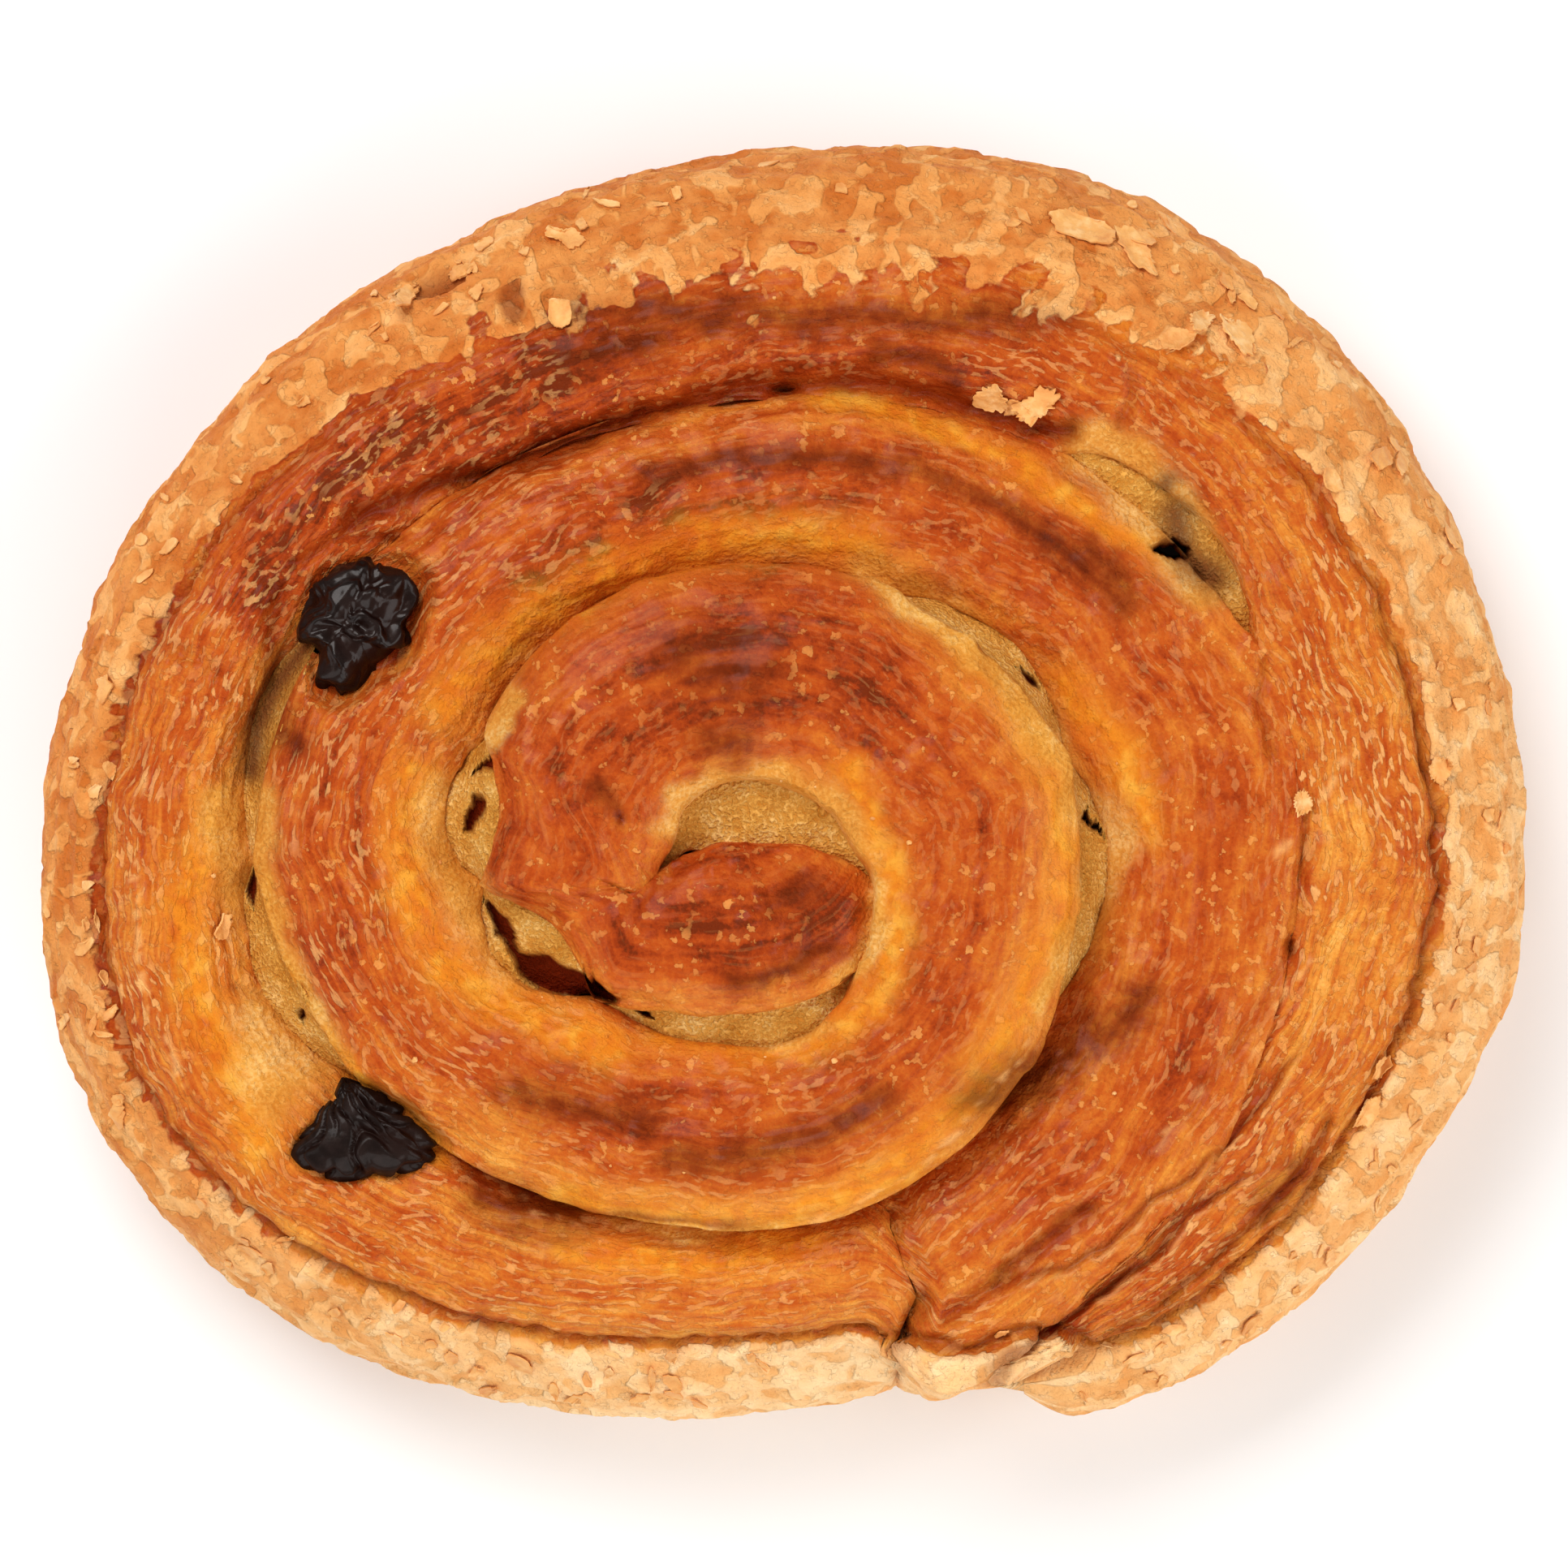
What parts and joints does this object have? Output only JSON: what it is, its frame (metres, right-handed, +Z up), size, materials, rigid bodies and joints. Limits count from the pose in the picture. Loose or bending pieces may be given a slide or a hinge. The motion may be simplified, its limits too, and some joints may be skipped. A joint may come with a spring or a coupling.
{
  "type": "pain aux raisins",
  "caption": "Oval spiral pastry: one strip of laminated dough wound round a custard filling, with raisins in the crease.",
  "frame": {"origin": "centre of the outline's box, on the flat base", "axes": "+Z up from the base, +X along the longer side of the oval, +Y across it; seen from above the dough winds outwards clockwise and ends at the lower right"},
  "size_m": [0.1097, 0.0946, 0.0313],
  "materials": {
    "baked_dough": "glazed, golden to deep brown, pale and flaky at the rim",
    "custard": "baked custard, dull and finely pitted",
    "raisin": "dark, wrinkled and glossy"
  },
  "bodies": {
    "root": {"dough": "baked_dough", "custard": "custard", "raisin_upper": "raisin", "raisin_lower": "raisin", "raisin_notch": "raisin"}
  },
  "joints": []
}
